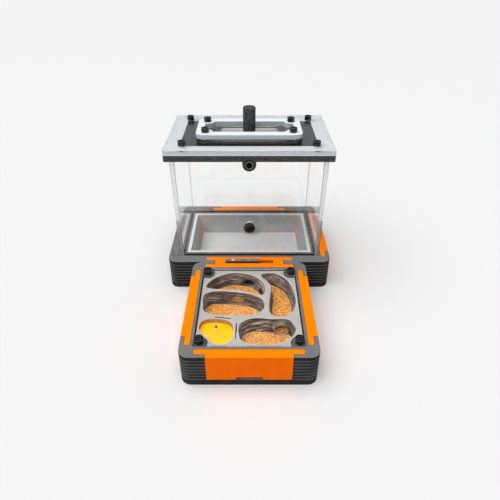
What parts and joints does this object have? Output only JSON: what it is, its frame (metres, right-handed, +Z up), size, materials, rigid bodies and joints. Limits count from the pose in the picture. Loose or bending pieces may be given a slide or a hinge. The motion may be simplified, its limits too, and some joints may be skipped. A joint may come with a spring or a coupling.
{
  "type": "ant habitat",
  "caption": "Ant habitat: a clear walled foraging box with a screwed lid and feeding hatch, joined by a gated tunnel to a low ribbed nest block with sand chambers.",
  "frame": {"origin": "centre of the footprint's bounding box, on the surface the habitat stands on", "axes": "+Z up, +Y from the nest module towards the foraging module, +X to the right seen from the nest's free end"},
  "size_m": [0.134, 0.1956, 0.1405],
  "materials": {
    "grey_plastic": "printed grey plastic, fine layer lines",
    "orange_plastic": "printed orange plastic, satin",
    "pale_plastic": "pale grey plastic, slightly rough floor",
    "insert_plastic": "pale grey porous block, brown-grey in the chambers",
    "clear_acrylic": "clear acrylic, polished edges",
    "white_acrylic": "white acrylic, polished",
    "black_seal": "black sealant, dull",
    "black_rubber": "black rubber, glossy",
    "dark_plastic": "printed dark grey plastic, rough",
    "dark_mesh": "fine dark mesh",
    "pale_gasket": "pale foam tape",
    "black_steel": "black oxide, glossy",
    "brass": "machined brass",
    "sand": "orange-tan sand, fine grains",
    "sponge": "yellow moisture pad, fine pores",
    "membrane": "thin wick membrane"
  },
  "bodies": {
    "modules": {"outworld_base": "grey_plastic", "basin_tray": "pale_plastic", "wall_seal": "black_seal", "wall_left": "clear_acrylic", "wall_right": "clear_acrylic", "wall_front": "clear_acrylic", "wall_back": "clear_acrylic", "back_port_grommet": "black_rubber", "front_port_grommet": "black_rubber", "nest_base": "grey_plastic", "nest_plinth": "insert_plastic", "nest_insert": "insert_plastic", "nest_seal": "black_seal", "nest_sheet": "clear_acrylic", "nest_screws": "black_steel", "nest_threads": "brass", "sand_back_left": "sand", "sand_back_right": "sand", "sand_middle": "sand", "sand_front": "sand", "water_pad": "sponge", "membrane_middle": "membrane", "membrane_front": "membrane"},
    "lid": {"lid_frame": "dark_plastic", "lid_port_grommet": "black_rubber", "lid_mesh": "dark_mesh", "lid_gasket": "pale_gasket", "lid_sheet": "clear_acrylic", "lid_screws": "black_steel", "lid_threads": "brass", "hatch_spacer": "clear_acrylic", "hatch_frame": "white_acrylic", "hatch_screws": "black_steel"},
    "hatch_door": {"hatch_door": "clear_acrylic", "hatch_knob": "dark_plastic", "knob_screw": "black_steel"},
    "connector": {"connector": "orange_plastic"},
    "gate": {"gate_slider": "grey_plastic"},
    "front_cover": {"front_cover": "orange_plastic"},
    "nest_left_cover": {"nest_left_cover": "orange_plastic"},
    "nest_right_cover": {"nest_right_cover": "orange_plastic"},
    "back_cover": {"back_cover": "orange_plastic"},
    "right_cover": {"right_cover": "orange_plastic"},
    "left_cover": {"left_cover": "grey_plastic"}
  },
  "joints": [
    {"name": "lid_lift", "type": "slide", "parent": "modules", "child": "lid", "axis": [0, 0, 1], "range_m": [0, 0.03]},
    {"name": "hatch_door_lift", "type": "slide", "parent": "lid", "child": "hatch_door", "axis": [0, 0, 1], "range_m": [0, 0.012]},
    {"name": "connector_lift", "type": "slide", "parent": "modules", "child": "connector", "axis": [0, 0, 1], "range_m": [0, 0.024]},
    {"name": "gate_slide", "type": "slide", "parent": "connector", "child": "gate", "axis": [1, 0, 0], "range_m": [0, 0.011]},
    {"name": "front_cover_lift", "type": "slide", "parent": "modules", "child": "front_cover", "axis": [0, 0, 1], "range_m": [0, 0.024]},
    {"name": "nest_left_cover_lift", "type": "slide", "parent": "modules", "child": "nest_left_cover", "axis": [0, 0, 1], "range_m": [0, 0.024]},
    {"name": "nest_right_cover_lift", "type": "slide", "parent": "modules", "child": "nest_right_cover", "axis": [0, 0, 1], "range_m": [0, 0.024]},
    {"name": "back_cover_lift", "type": "slide", "parent": "modules", "child": "back_cover", "axis": [0, 0, 1], "range_m": [0, 0.024]},
    {"name": "right_cover_lift", "type": "slide", "parent": "modules", "child": "right_cover", "axis": [0, 0, 1], "range_m": [0, 0.024]},
    {"name": "left_cover_lift", "type": "slide", "parent": "modules", "child": "left_cover", "axis": [0, 0, 1], "range_m": [0, 0.024]}
  ]
}
